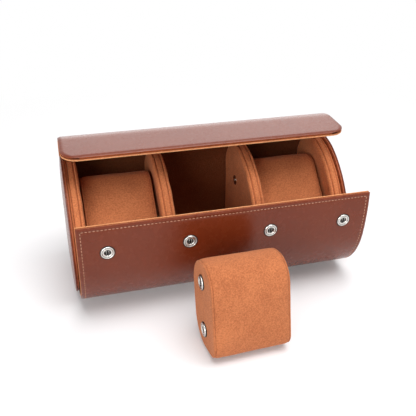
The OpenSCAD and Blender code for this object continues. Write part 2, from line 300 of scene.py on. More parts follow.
def seen_directly(tree):
    """1 for rays from the camera and for those mirrored or let through, 0 for the rest."""
    path = tree.nodes.new("ShaderNodeLightPath").outputs
    mirrored_too = arithmetic(tree, "MAXIMUM", path["Is Camera Ray"], path["Is Glossy Ray"])
    return arithmetic(tree, "MAXIMUM", mirrored_too, path["Is Transmission Ray"])


def weighted(tree, a, share_of_a, b, share_of_b):
    """Sum of two values, each times its share."""
    return arithmetic(
        tree,
        "ADD",
        arithmetic(tree, "MULTIPLY", a, share_of_a),
        arithmetic(tree, "MULTIPLY", b, share_of_b),
    )


def noise_of(tree, vector, scale, detail=3.0, roughness=0.5):
    n = tree.nodes.new("ShaderNodeTexNoise")
    n.inputs["Scale"].default_value = scale
    n.inputs["Detail"].default_value = detail
    n.inputs["Roughness"].default_value = roughness
    tree.links.new(vector, n.inputs["Vector"])
    return n.outputs["Fac"]


def leather_grain_group():
    """Fine pebbled grain, pores and slow tone changes of polished leather."""
    tree, start, end = new_group(
        "Leather Grain",
        [
            ("Tone", "NodeSocketColor", (0.2, 0.035, 0.012, 1)),
            ("Deep Tone", "NodeSocketColor", (0.1, 0.015, 0.006, 1)),
            ("Grain", "NodeSocketFloat", 0.5),
        ],
    )
    v = start.outputs["Vector"]
    cells = tree.nodes.new("ShaderNodeTexVoronoi")
    cells.feature = "DISTANCE_TO_EDGE"
    cells.inputs["Scale"].default_value = 1150
    tree.links.new(v, cells.inputs["Vector"])
    pebble = ramp(tree, cells.outputs["Distance"], 0.0, 0.25)
    pores = noise_of(tree, v, 2600, 2.0)
    slow = noise_of(tree, v, 24, 4.0, 0.55)
    mid = noise_of(tree, v, 170, 3.0)
    tone = ramp(tree, weighted(tree, slow, 0.7, mid, 0.3), 0.28, 0.66)
    colour = mix_colour(tree, tone, start.outputs["Deep Tone"], start.outputs["Tone"])
    creases = arithmetic(tree, "MULTIPLY", arithmetic(tree, "SUBTRACT", 1.0, pebble), 0.28)
    colour = mix_colour(tree, creases, colour, start.outputs["Deep Tone"])
    dulled = arithmetic(tree, "ADD", mid, arithmetic(tree, "MULTIPLY", pores, 0.4))
    rough = ramp(tree, dulled, 0.45, 1.0, 0.24, 0.3)
    height = weighted(tree, pebble, start.outputs["Grain"], pores, 0.35)
    height = arithmetic(tree, "ADD", height, arithmetic(tree, "MULTIPLY", mid, 0.4))
    give(tree, end, colour, rough, height)


def suede_nap_group():
    """Short brushed nap with soft patches where fingers have turned it, a painted highlight on its
    fibres and painted shade along its seams.
    """
    tree, start, end = new_group(
        "Suede Nap",
        [
            ("Tone", "NodeSocketColor", (0.64, 0.24, 0.095, 1)),
            ("Shade", "NodeSocketColor", (0.42, 0.13, 0.05, 1)),
            ("Seam", "NodeSocketFloat", 0.0),
        ],
    )
    v = start.outputs["Vector"]
    fibres = tree.nodes.new("ShaderNodeMapping")
    fibres.inputs["Scale"].default_value = (1.0, 0.35, 0.35)
    tree.links.new(v, fibres.inputs["Vector"])
    nap = noise_of(tree, fibres.outputs["Vector"], 3200, 4.0, 0.65)
    speck = noise_of(tree, v, 950, 3.0, 0.7)
    patches = noise_of(tree, v, 60, 3.0, 0.5)
    tone = ramp(tree, weighted(tree, speck, 0.8, patches, 0.2), 0.38, 0.6)
    colour = mix_colour(tree, tone, start.outputs["Shade"], start.outputs["Tone"])
    # Lighter fibre tips: a painted highlight on the nap.
    colour = mix_colour(tree, ramp(tree, nap, 0.5, 0.75, 0.0, 0.14), colour, (0.9, 0.5, 0.28))
    # Darker in uneven blotches along the seams: painted shade in the seam's groove.
    uneven = ramp(tree, noise_of(tree, v, 620, 2.0), 0.35, 0.6, 0.45, 1.0)
    pressed = arithmetic(tree, "MULTIPLY", start.outputs["Seam"], uneven)
    colour = mix_colour(tree, pressed, colour, (0.1, 0.024, 0.009))
    height = arithmetic(tree, "ADD", nap, arithmetic(tree, "MULTIPLY", speck, 1.4))
    give(tree, end, colour, ramp(tree, nap, 0.3, 0.7, 0.86, 1.0), height)


def fine_scratches_group():
    """Fine brushed marks and dull spots on plated metal."""
    tree, start, end = new_group(
        "Plating Wear", [("Tone", "NodeSocketColor", (0.78, 0.77, 0.74, 1))]
    )
    v = start.outputs["Vector"]
    spots = noise_of(tree, v, 900, 4.0, 0.6)
    marks = noise_of(tree, v, 4500, 2.0, 0.5)
    dull = ramp(tree, spots, 0.4, 0.7, 0.0, 0.35)
    colour = mix_colour(tree, dull, start.outputs["Tone"], (0.4, 0.37, 0.33), "MULTIPLY")
    give(tree, end, colour, ramp(tree, spots, 0.3, 0.7, 0.14, 0.3), marks)


def finish_material(name, group, values, bump, distance=0.0002, **shader_values):
    """A material whose colour, roughness and relief come from one of the shared groups."""
    material = bpy.data.materials.new(name)
    material.use_nodes = True
    tree = material.node_tree
    shader = tree.nodes["Principled BSDF"]
    place = tree.nodes.new("ShaderNodeTexCoord")
    effect = tree.nodes.new("ShaderNodeGroup")
    effect.node_tree = bpy.data.node_groups[group]
    tree.links.new(place.outputs["Object"], effect.inputs["Vector"])
    if "Seam" in effect.inputs:
        marked = tree.nodes.new("ShaderNodeAttribute")
        marked.attribute_name = "Seam"
        tree.links.new(marked.outputs["Fac"], effect.inputs["Seam"])
    for key, value in values.items():
        socket = effect.inputs[key]
        socket.default_value = (*value, 1) if isinstance(value, (tuple, list)) else value
    tree.links.new(effect.outputs["Color"], shader.inputs["Base Color"])
    tree.links.new(effect.outputs["Roughness"], shader.inputs["Roughness"])
    relief = tree.nodes.new("ShaderNodeBump")
    relief.inputs["Strength"].default_value = bump
    relief.inputs["Distance"].default_value = distance
    tree.links.new(effect.outputs["Height"], relief.inputs["Height"])
    tree.links.new(relief.outputs["Normal"], shader.inputs["Normal"])
    for key, value in shader_values.items():
        shader.inputs[key.replace("_", " ")].default_value = value
    return material


def material(name):
    return bpy.data.materials[name]


# Shapes


def new_object(name, mesh_or_bm, materials):
    if isinstance(mesh_or_bm, bmesh.types.BMesh):
        mesh = bpy.data.meshes.new(name)
        mesh_or_bm.to_mesh(mesh)
        mesh_or_bm.free()
    else:
        mesh = mesh_or_bm
    obj = bpy.data.objects.new(name, mesh)
    bpy.context.scene.collection.objects.link(obj)
    for m in materials:
        mesh.materials.append(material(m))
    for polygon in mesh.polygons:
        polygon.use_smooth = True
    return obj


def add_thickness(obj, thickness, rim_slot=0, rounding=0.3):
    """Gives a skin its thickness towards its back, with softened edges."""
    solid = obj.modifiers.new("Thickness", "SOLIDIFY")
    solid.thickness = thickness * MM
    solid.offset = -1
    solid.use_even_offset = True
    solid.material_offset_rim = rim_slot
    bevel = obj.modifiers.new("Softened Edge", "BEVEL")
    bevel.width = rounding * MM
    bevel.segments = 3
    bevel.limit_method = "ANGLE"
    bevel.angle_limit = math.radians(50)
    bevel.harden_normals = False
    return obj


def skin(
    name, points, offset, half_width, materials, columns, ripple=0.0, seed=0.0, relief=None
):
    """A sheet laid along a sampled section, wide as half_width(distance from its last point).

    relief(distance from the side, distance from the last point) lifts it; columns crowd
    together towards the sides.
    """
    rows = len(points)
    bm = bmesh.new()
    bmesh.ops.create_grid(bm, x_segments=columns, y_segments=rows - 1, size=1)
    total = points[-1][4]
    for v in bm.verts:
        u = v.co.x
        y, z, ny, nz, run = points[min(rows - 1, round((v.co.y + 1) / 2 * (rows - 1)))]
        half = half_width(total - run)
        x = u * (1.35 - 0.35 * u * u) * half
        lift = offset
        if relief:
            lift += relief(half - abs(x), total - run)
        if ripple:
            lift += ripple * noise.noise(Vector((x * 0.018 + seed, run * 0.03, seed)))
        v.co = Vector((x, y + ny * lift, z + nz * lift)) * MM
    bmesh.ops.recalc_face_normals(bm, faces=bm.faces)
    middle = bm.faces[:][len(bm.faces) // 2]
    c = middle.calc_center_median() / MM
    nearest = min(points, key=lambda p: (p[0] - c.y) ** 2 + (p[1] - c.z) ** 2)
    if middle.normal.y * nearest[2] + middle.normal.z * nearest[3] < 0:
        bmesh.ops.reverse_faces(bm, faces=bm.faces)
    return new_object(name, bm, materials)


def lid_half_width(distance):
    """Half the lid's width at a distance from its front edge, with rounded front corners."""
    r = LID_CORNER_R
    if distance >= r:
        return HALF_LENGTH
    side = r - math.sqrt(max(0.0, r * r - (r - distance) ** 2))
    return HALF_LENGTH - side


# The line that a seam presses into the leather
SEAM_DEPTH = 0.28
SEAM_HALF_WIDTH = 0.6


def turned_edge(depth, reach, length, seam=None):
    """Relief of a leather edge turned over a board, with the seam pressed in beside it."""

    def relief(side, left):
        d = min(side, left)
        fade = min(1.0, max(0.0, (length - 4 - left) / 10))
        lift = -depth * max(0.0, 1 - d / reach) ** 2
        if seam:
            lift -= SEAM_DEPTH * math.exp(-(((d - seam) / SEAM_HALF_WIDTH) ** 2))
        return lift * fade

    return relief


def refined_end(points, path_length, fine=0.6):
    """Adds closer rows near a section's last stretch, where the corners round off."""
    out = []
    for a, b in zip(points, points[1:]):
        left = points[-1][4] - a[4]
        n = max(1, round((b[4] - a[4]) / fine)) if left < path_length else 1
        for k in range(n):
            t = k / n
            out.append(tuple(a[i] + (b[i] - a[i]) * t for i in range(5)))
    out.append(points[-1])
    return out


def pad(name, outline, stations, materials):
    """A closed pad: rings of its outline at stations (x, inset, scale about its middle)."""
    middle = Vector((0, *(sum(p[k] for p in outline) / len(outline) for k in (0, 1))))
    bm = bmesh.new()
    bmesh.ops.create_circle(bm, cap_ends=False, segments=len(outline), radius=1)

    def place(verts, x, inset, scale=1.0):
        for v, p in zip(verts, outline):
            rim = Vector((0, p[0] - p[2] * inset, p[1] - p[3] * inset))
            v.co = (middle + (rim - middle) * scale + Vector((x, 0, 0))) * MM

    ring = list(bm.verts)
    place(ring, *stations[0])
    bmesh.ops.contextual_create(bm, geom=ring)
    for station in stations[1:]:
        chosen = set(ring)
        edges = [e for e in bm.edges if e.verts[0] in chosen and e.verts[1] in chosen]
        made = bmesh.ops.extrude_edge_only(bm, edges=edges)
        new = {v for v in made["geom"] if isinstance(v, bmesh.types.BMVert)}
        ring = [next(e.other_vert(v) for e in v.link_edges if e.other_vert(v) in new) for v in ring]
        place(ring, *station)
    bmesh.ops.contextual_create(bm, geom=ring)
    bmesh.ops.recalc_face_normals(bm, faces=bm.faces)
    return new_object(name, bm, materials)


def swell(obj, pinned, reach):
    """Blows a pad up from inside like a stuffed cover; its seams stay and no point goes far."""
    seams = obj.vertex_groups.new(name="Seams")
    seams.add([v.index for v in obj.data.vertices if pinned(v.co / MM)], 1.0, "REPLACE")
    start = [v.co.copy() for v in obj.data.vertices]
    cloth = obj.modifiers.new("Stuffing", "CLOTH")
    cloth.settings.quality = 5
    cloth.settings.mass = 0.15
    cloth.settings.use_pressure = True
    cloth.settings.uniform_pressure_force = 4
    cloth.settings.effector_weights.gravity = 0
    cloth.settings.vertex_group_mass = "Seams"
    cloth.collision_settings.use_collision = False
    scene = bpy.context.scene
    for frame_number in range(1, 21):
        scene.frame_set(frame_number)
    evaluated = obj.evaluated_get(bpy.context.evaluated_depsgraph_get())
    swollen = [v.co.copy() for v in evaluated.data.vertices]
    obj.modifiers.remove(cloth)
    obj.vertex_groups.clear()
    scene.frame_set(1)
    for v, a, b in zip(obj.data.vertices, start, swollen):
        move = b - a
        if move.length > reach * MM:
            move = move.normalized() * reach * MM
        v.co = a + move


def mark_seams(obj, sewn, strength):
    """Notes where a pad is sewn, so that painted shade darkens its finish in the seam's groove."""
    layer = obj.data.attributes.new("Seam", "FLOAT", "POINT")
    for v, value in zip(obj.data.vertices, layer.data):
        value.value = strength * sewn(v.co / MM)


def smoothed(obj, levels=1):
    smooth = obj.modifiers.new("Smooth", "SUBSURF")
    smooth.levels = levels
    smooth.render_levels = levels
    return obj


def spun(bm, profile, matrix, steps=32):
    """Turns a profile of (radius, height) in millimetres about Z and puts it in place."""
    chain = [bm.verts.new(Vector((r, 0, z)) * MM) for r, z in profile]
    edges = [bm.edges.new(pair) for pair in zip(chain, chain[1:])]
    bmesh.ops.spin(
        bm,
        geom=chain + edges,
        cent=(0, 0, 0),
        axis=(0, 0, 1),
        angle=math.tau,
        steps=steps,
        use_merge=True,
    )
    bmesh.ops.remove_doubles(bm, verts=[v for v in bm.verts if not v.tag], dist=1e-7)
    verts = [v for v in bm.verts if not v.tag]
    faces = [f for f in bm.faces if not f.tag]
    bmesh.ops.recalc_face_normals(bm, faces=faces)
    bmesh.ops.transform(bm, matrix=matrix, verts=verts)
    for piece in (*verts, *faces):
        piece.tag = True


def stitch_row(bm, places, length, width, rise):
    """Thread stitches: small rounded bars, at matrices whose X runs along the seam."""
    for matrix in places:
        made = bmesh.ops.create_uvsphere(bm, u_segments=8, v_segments=5, radius=0.5 * MM)
        shape = Matrix.Diagonal((length, width, rise, 1))
        bmesh.ops.transform(bm, matrix=matrix @ shape, verts=made["verts"])


def tone_property(name, description, default):
    return FloatVectorProperty(
        name=name, description=description, subtype="COLOR", size=3, min=0, max=1, default=default
    )


def length_property(name, description, default, low, high):
    return FloatProperty(
        name=name,
        description=description,
        subtype="DISTANCE",
        unit="LENGTH",
        default=default,
        min=low,
        max=high,
    )


class CaseColours(bpy.types.PropertyGroup):
    leather: tone_property(
        "Leather", "Main tone of the polished leather", (0.166, 0.0265, 0.0066)
    )
    leather_deep: tone_property(
        "Deep leather", "Darker tone in the leather's grain and mottling", (0.131, 0.019, 0.0054)
    )
    suede: tone_property(
        "Suede", "Tone of the lining, walls and cushions", (0.56, 0.185, 0.07)
    )
    suede_shade: tone_property(
        "Suede shade", "Tone of the nap where it lies away from the light", (0.36, 0.105, 0.038)
    )
    thread: tone_property(
        "Thread", "Tone of the sewing thread", (0.62, 0.34, 0.22)
    )


class CaseSizes(bpy.types.PropertyGroup):
    stitch_pitch: length_property(
        "Stitch pitch", "Distance from one stitch to the next", 0.0027, 0.0015, 0.005
    )
    stitch_inset: length_property(
        "Stitch inset", "Distance of the seam from the flap's edge", 0.003, 0.002, 0.006
    )
    pad_crown: length_property(
        "Pad crown", "Height to which the cushions' faces swell", 0.0012, 0.0, 0.002
    )
    ring_steps: IntProperty(
        name="Ring steps",
        description="Number of faces round a snap",
        default=32,
        min=12,
        max=64,
    )


def colours():
    return bpy.context.scene.travel_case_colours


def sizes():
    return bpy.context.scene.travel_case_sizes


def shaded(colour, share):
    return tuple(x * share for x in colour)


# The finish of each CAD node, by the first of these words in its name
NODE_FINISHES = (
    ("snap", "Nickel"),
    ("stud", "Nickel"),
    ("core", "Foam"),
    ("end_board", "Leather Edge With Painted Highlight"),
    ("board", "Stiffening Board"),
    ("tray_shell", "Stiffening Board"),
    ("leather", "Polished Leather"),
    ("", "Suede"),
)


class OBJECT_OT_case_materials(bpy.types.Operator):
    """Makes the leather, suede, board, thread and metal finishes"""

    bl_idname = "travel_case.materials"
    bl_label = "Finishes"

    def execute(self, context):
        leather_grain_group()
        suede_nap_group()
        fine_scratches_group()
        c = colours()
        tone, deep = tuple(c.leather), tuple(c.leather_deep)
        finish_material(
            "Polished Leather",
            "Leather Grain",
            {"Tone": tone, "Deep Tone": deep, "Grain": 0.5},
            0.35,
            0.00012,
            Specular_IOR_Level=0.44,
            Specular_Tint=(1.0, 0.85, 0.77, 1),
        )
        # The leather's edges: their own edge colour, made lighter and more orange as painted
        # highlight on the rounded turned edge.
        finish_material(
            "Leather Edge With Painted Highlight",
            "Leather Grain",
            {"Tone": (0.44, 0.115, 0.042), "Deep Tone": (0.3, 0.07, 0.025), "Grain": 1.0},
            0.5,
            0.0002,
            Specular_IOR_Level=0.2,
        )
        # The walls' suede is the same suede made 1.2 times lighter: painted light on their rims.
        for name, share in (("Suede", 1.0), ("Wall Suede Painted Light", 1.2)):
            finish_material(
                name,
                "Suede Nap",
                {"Tone": shaded(c.suede, share), "Shade": shaded(c.suede_shade, share)},
                0.55,
                0.00025,
                Sheen_Weight=0.15,
                Sheen_Roughness=0.5,
                Sheen_Tint=(1.0, 0.72, 0.5, 1),
                Specular_IOR_Level=0.2,
            )
        # The slots' lining is the same suede darkened: painted shade inside the slots under the
        # lid.
        lining, lining_shade = shaded(c.suede_shade, 0.6), shaded(c.suede_shade, 0.4)
        napped = (
            ("Suede Cut Edge", (0.82, 0.4, 0.19), (0.6, 0.25, 0.1), 0.6, 0.0003, 0.2),
            ("Suede Lining", lining, lining_shade, 0.5, 0.00025, 0.1),
            ("Stiffening Board", (0.09, 0.035, 0.02), (0.05, 0.018, 0.01), 0.6, 0.0002, 0.2),
            ("Foam", (0.8, 0.74, 0.62), (0.66, 0.6, 0.48), 0.7, 0.0003, 0.5),
            ("Thread", tuple(c.thread), shaded(c.thread, 0.6), 0.5, 0.0001, 0.5),
        )
        for name, tone, shade, bump, distance, specular in napped:
            values = {"Tone": tone, "Shade": shade}
            finish_material(
                name, "Suede Nap", values, bump, distance, Specular_IOR_Level=specular
            )
        # The snaps' near-black is painted shade: in their groove, in their hole, and in a ring
        # round them for the shadow of the sunk leather.
        nickel, snap_shade = {"Tone": (0.74, 0.72, 0.68)}, {"Tone": (0.012, 0.01, 0.009)}
        finish_material("Nickel", "Plating Wear", nickel, 0.15, 0.00005, Metallic=1.0)
        finish_material("Snap Painted Shade", "Plating Wear", snap_shade, 0.2, 0.00005, Specular_IOR_Level=0.2)
        for name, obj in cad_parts.items():
            finish = next(finish for word, finish in NODE_FINISHES if word in name)
            obj.data.materials.clear()
            obj.data.materials.append(material(finish))
        return {"FINISHED"}


# Angle round the lid's axis at which the back's leather has risen to the lid's own surface
RISE_END = 28.0


def risen(a):
    """Radius of the leather at an angle round the lid's axis."""
    t = min(1.0, max(0.0, a / RISE_END))
    s = t * t * (3 - 2 * t)
    return TOP_BACK_R + WRAP + (LID_R - TOP_BACK_R - WRAP) * s


class OBJECT_OT_case_back_leather(bpy.types.Operator):
    """Lays the leather from under the base up the back and over the lid"""

    bl_idname = "travel_case.back_leather"
    bl_label = "Back and Lid Leather"

    def execute(self, context):
        corner = (BOTTOM_BACK_C, BOTTOM_BACK_R + WRAP, 270, 360)
        base = sampled([((0.0, WRAP), WRAP, 270, 270), corner], 3.0)
        rise = []
        for k in range(17):
            a = LID_START * k / 16
            p = polar(LID_AXIS, risen(a), a)
            rise.append((p[0], p[1], math.cos(math.radians(a)), math.sin(math.radians(a)), 0))
        back = []
        top_of_corner, foot_of_rise = base[-1], rise[0]
        for k in range(1, 12):
            height = top_of_corner[1] + (foot_of_rise[1] - top_of_corner[1]) * (k / 12)
            back.append((foot_of_rise[0], height, 1, 0, 0))
        lid = sampled(LID, 2.5)
        joined = base + back + rise + lid[1:]
        points, run = [], 0.0
        for i, p in enumerate(joined):
            if i:
                run += math.dist(joined[i - 1][:2], p[:2])
            points.append((*p[:4], run))
        points = refined_end(points, LID_CORNER_R + 1)
        lid_length = lid[-1][4]

        def half(distance):
            """As wide as the lid, then drawn in between the ends' leather down the back."""
            if distance <= lid_length + 6:
                return lid_half_width(distance)
            t = min(1.0, (distance - lid_length - 6) / 10)
            return HALF_LENGTH - (LEATHER + 0.05) * t

        obj = skin(
            "lid_and_back_leather",
            points,
            0.0,
            half,
            ["Polished Leather", "Leather Edge With Painted Highlight"],
            110,
            relief=turned_edge(0.85, 3.0, lid_length),
        )
        add_thickness(obj, TURNED_EDGE, 1, 0.7)
        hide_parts("outer_leather", "lid_leather")
        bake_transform(obj)
        top = sampled([(LID_AXIS, TOP_BACK_R + WRAP, 12, 84)], 2.0)
        edge = skin(
            "tray_top_edge_leather",
            top,
            -0.05,
            lambda distance: HALF_LENGTH - WRAP - 0.02,
            ["Polished Leather", "Leather Edge With Painted Highlight"],
            48,
        )
        add_thickness(edge, LEATHER - 0.1, 1, 0.3)
        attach(edge, "case")
        return {"FINISHED"}


class OBJECT_OT_case_flap_leather(bpy.types.Operator):
    """Lays the leather from under the base round the fold and over the flap"""

    bl_idname = "travel_case.flap_leather"
    bl_label = "Fold and Flap Leather"

    def execute(self, context):
        path = [
            ((0.0, WRAP), WRAP, 270, 270),
            (BOTTOM_FRONT_C, BOTTOM_FRONT_R + WRAP, 270, FOLD_START),
        ] + FLAP
        points = refined_end(sampled(path, 2.5), 6, 0.5)
        flap_length = sampled(FLAP, 2.5)[-1][4]

        def half(distance):
            if distance <= flap_length - 2:
                return FLAP_HALF
            t = min(1.0, (distance - flap_length + 2) / 14)
            s = t * t * (3 - 2 * t)
            return FLAP_HALF + (HALF_LENGTH - WRAP - FLAP_HALF) * s

        obj = skin(
            "fold_and_flap_leather",
            points,
            0.0,
            half,
            ["Polished Leather", "Leather Edge With Painted Highlight"],
            110,
            relief=turned_edge(0.5, 2.0, flap_length, sizes().stitch_inset / MM),
        )
        add_thickness(obj, TURNED_EDGE, 1, 0.7)
        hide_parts("outer_leather", "flap_leather")
        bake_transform(obj)
        return {"FINISHED"}


class OBJECT_OT_case_panel_linings(bpy.types.Operator):
    """Lines the lid and the flap with suede"""

    bl_idname = "travel_case.panel_linings"
    bl_label = "Lid and Flap Linings"

    def execute(self, context):
        points = refined_end(sampled(LID, 2.5), LID_CORNER_R + 1)
        finishes = ["Suede", "Suede Cut Edge"]
        obj = skin("lid_suede", points, LINING_EDGE - PANEL, lid_half_width, finishes, 64)
        add_thickness(obj, LINING_EDGE, 1, 0.3)
        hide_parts("lid_lining")
        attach(obj, "lid")
        points = sampled(FLAP, 2.5)

        def half(distance):
            """A little wider than the leather, and narrower towards the fold."""
            from_fold = points[-1][4] - distance
            return FLAP_HALF + 0.2 - 1.6 * max(0.0, 1 - from_fold / 16) ** 2

        obj = skin("flap_suede", points, LINING_EDGE - PANEL, half, finishes, 64)
        add_thickness(obj, LINING_EDGE, 1, 0.3)
        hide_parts("flap_lining")
        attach(obj, "front_flap")
        return {"FINISHED"}


class OBJECT_OT_case_slot_linings(bpy.types.Operator):
    """Lines the three slots of the tray with suede"""

    bl_idname = "travel_case.slot_linings"
    bl_label = "Slot Linings"

    def execute(self, context):
        path = [
            (BOTTOM_FRONT_C, BOTTOM_FRONT_R, 190, 270),
            (BOTTOM_BACK_C, BOTTOM_BACK_R, 270, 360),
            (LID_AXIS, TOP_BACK_R, 0, 84),
        ]
        # The linings run a little way under the walls at their sides
        tuck = 1.2
        inner = DIVIDER_X + WALL / 2 - tuck
        outer = WALL_X - WALL / 2 + tuck
        middle = DIVIDER_X - WALL / 2 + tuck
        for side, x0, x1 in (
            ("left", -outer, -inner),
            ("middle", -middle, middle),
            ("right", inner, outer),
        ):
            centre = (x0 + x1) / 2
            obj = skin(
                f"slot_suede_{side}",
                sampled(path, 2.5),
                0.0,
                lambda distance, half=(x1 - x0) / 2: half,
                # Darkened suede: painted shade inside the slot.
                ["Suede Lining"],
                24,
                ripple=-0.25,
                seed=centre,
            )
            obj.data.transform(Matrix.Translation((centre * MM, 0, 0)))
            add_thickness(obj, LINING, 0, 0.2)
            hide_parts(f"slot_lining_{side}")
            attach(obj, "case")
        return {"FINISHED"}


class OBJECT_OT_case_ends(bpy.types.Operator):
    """Makes the leather ends of the case with their turned edges"""

    bl_idname = "travel_case.ends"
    bl_label = "Ends"

    def execute(self, context):
        outline = sampled([(c, r + WRAP, a, b) for c, r, a, b in TRAY], 3.0, closed=True)
        for side, name in ((-1, "left"), (1, "right")):
            out, inside = HALF_LENGTH * side, (HALF_LENGTH - LEATHER) * side
            mid = (out + inside) / 2
            stations = [
                (inside, 1.2, 0.5),
                (inside, 1.2),
                (inside, 0.35),
                (inside + side * 0.2, 0.06),
                (mid, 0.0),
                (out - side * 0.3, 0.06),
                (out, 0.5),
                (out + side * 0.15, 1.3),
                (out + side * 0.35, 1.6, 0.96),
                (out + side * 0.65, 1.6, 0.9),
                (out + side * 0.95, 1.6, 0.81),
                (out + side * 1.2, 1.6, 0.69),
                (out + side * 1.4, 1.6, 0.5),
                (out + side * 1.45, 1.6, 0.25),
            ]
            panel = f"end_leather_panel_{name}"
            obj = smoothed(pad(panel, outline, stations, ["Polished Leather"]))
            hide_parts(f"end_leather_{name}")
            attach(obj, "case")
        return {"FINISHED"}


# How far the stuffing may push a wall, and how far a wall rolls out inside its rim
WALL_SWELL = 0.4
WALL_ROLL = 0.8


class OBJECT_OT_case_walls(bpy.types.Operator):
    """Makes the padded end walls and dividers with the seam along their edge"""

    bl_idname = "travel_case.walls"
    bl_label = "Padded Walls"

    def execute(self, context):
        outline = sampled([(c, r - 0.1, a, b) for c, r, a, b in TRAY], 2.5, closed=True)
        h, s = WALL / 2, WALL_SEAM
        half = [
            (-h + 0.55, 3.0, 0.3),
            (-h + 0.5, 3.0, 0.6),
            (-h + 0.45, 3.0, 0.85),
            (-h + 0.4, 6.0),
            (-h + 0.15, 4.2),
            (-h, 2.6),
            (-h + 0.15, 1.4),
            (-h + 0.9, 0.55),
            (-s - 0.55, 0.35),
            (-s - 0.2, 0.9),
            (-s, 2.0),
            (-s + 0.2, 0.9),
            (-s + 0.55, 0.35),
            (-0.8, 0.2),
        ]

        def sewn(p):
            return abs(abs(p.x) - s) < 0.05

        form = pad("wall_form", outline, half + mirrored(half), ["Wall Suede Painted Light"])
        mark_seams(form, sewn, 0.65)
        swell(form, sewn, WALL_SWELL)
        for name, x, open_sides in (
            ("wall_left", -WALL_X, (1,)),
            ("divider_left", -DIVIDER_X, (-1, 1)),
            ("divider_right", DIVIDER_X, (-1, 1)),
            ("wall_right", WALL_X, (-1,)),
        ):
            obj = new_object(f"padded_{name}", form.data.copy(), [])
            roll_out(obj, outline, open_sides)
            obj.data.transform(Matrix.Translation((x * MM, 0, 0)))
            smoothed(obj)
            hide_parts(name)
            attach(obj, "case")
        bpy.data.objects.remove(form)
        return {"FINISHED"}


def roll_out(wall, outline, sides):
    """Pushes a wall's padding out into the slots a little way inside its rim."""
    for v in wall.data.vertices:
        p = v.co / MM
        side = 1 if p.x > 0 else -1
        if side in sides and abs(p.x) > WALL_SEAM:
            depth = min(math.dist((p.y, p.z), q[:2]) for q in outline)
            share = min(1.0, (abs(p.x) - WALL_SEAM) / 1.5) * max(0.0, 1 - abs(depth - 2.5) / 6)
            v.co.x += side * WALL_ROLL * share * MM


def mirrored(half):
    """The stations of a pad's other half."""
    return [(-x, *rest) for x, *rest in reversed(half)]


def cushion_places():
    """Where each cushion is at rest, by its name."""
    seat = Matrix.Rotation(math.radians(-CUSHION_LEAN), 4, "X")
    return {
        "left": Matrix.Translation(Vector((-SEAT_X, *SEAT)) * MM) @ seat,
        "right": Matrix.Translation(Vector((SEAT_X, *SEAT)) * MM) @ seat,
        "middle": Matrix.Translation(Vector(free_place()) * MM)
        @ Matrix.Rotation(math.radians(FREE_TURN), 4, "Z")
        @ Matrix.Rotation(math.radians(-FREE_LEAN), 4, "X"),
    }


def cushion_form():
    """One cushion about its own middle: a band sewn round two end panels, then stuffed."""
    signs = ((1, -1), (1, 1), (-1, 1), (-1, -1))
    path = [
        (
            (sy * (CUSHION_DEPTH / 2 - r), sz * (CUSHION_HEIGHT / 2 - r)),
            r,
            270 + 90 * i,
            360 + 90 * i,
        )
        for i, (r, (sy, sz)) in enumerate(zip(CUSHION_CORNERS, signs))
    ]
    outline = sampled(path, 2.5, closed=True)
    h = CUSHION_LEN / 2
    half = [
        (-h + 0.75, 3.0, 0.2),
        (-h + 0.7, 3.0, 0.45),
        (-h + 0.65, 3.0, 0.7),
        (-h + 0.6, 3.0, 0.88),
        (-h + 0.6, 4.2),
        (-h + 0.55, 2.4),
        (-h + 0.65, 1.4),
        (-h + 1.15, 0.7),
        (-h + 1.6, 0.65),
        (-h + 2.0, 1.25),
        (-h + 2.4, 0.65),
        (-h + 3.2, 0.25),
    ]
    half += [(-h + 3.2 + (h - 3.2) * k / 11, 0.2) for k in range(1, 11)]

    def sewn(p):
        return abs(abs(p.x) - (h - 2.0)) < 0.04

    form = pad("cushion_form", outline, half + mirrored(half), ["Suede"])
    mark_seams(form, sewn, 0.55)
    swell(form, lambda p: sewn(p) or abs(abs(p.x) - (h - 0.65)) < 0.02, sizes().pad_crown / MM)
    return form


class OBJECT_OT_case_cushions(bpy.types.Operator):
    """Makes the three stuffed cushions"""

    bl_idname = "travel_case.cushions"
    bl_label = "Cushions"

    def execute(self, context):
        form = cushion_form()
        for k, (name, place) in enumerate(cushion_places().items()):
            obj = new_object(f"cushion_{name}_suede", form.data.copy(), [])
            for v in obj.data.vertices:
                p = v.co / MM
                d = noise.noise(Vector((p.x * 0.07 + 9.0 * k, p.y * 0.07, p.z * 0.07)))
                if abs(p.x) < CUSHION_LEN / 2 - 2:
                    v.co += Vector((0, p.y, p.z)).normalized() * d * 0.45 * MM
            obj.data.transform(place)
            if name == "middle":
                for v in obj.data.vertices:
                    v.co.z = max(v.co.z, 0.0)
            smoothed(obj)
            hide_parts(f"cushion_{name}_cover")
            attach(obj, f"cushion_{name}")
        bpy.data.objects.remove(form)
        return {"FINISHED"}


# Profiles of the snap halves, (radius, height) in millimetres, by material slot
SOCKET = (
    ((5.0, -0.1), (5.02, 0.12), (4.88, 0.46), (4.55, 0.68), (4.2, 0.66), (3.98, 0.4)),
    ((3.98, 0.4), (3.94, 0.15), (3.76, 0.15), (3.7, 0.36)),
    ((3.7, 0.36), (3.4, 0.52), (2.95, 0.56), (2.65, 0.46), (2.45, 0.2)),
    ((2.45, 0.2), (2.4, 0.06), (1.1, 0.05), (0.0, 0.06)),
    ((5.6, -0.8), (5.62, 0.02), (5.45, 0.09), (5.1, 0.06), (4.95, -0.1)),
)
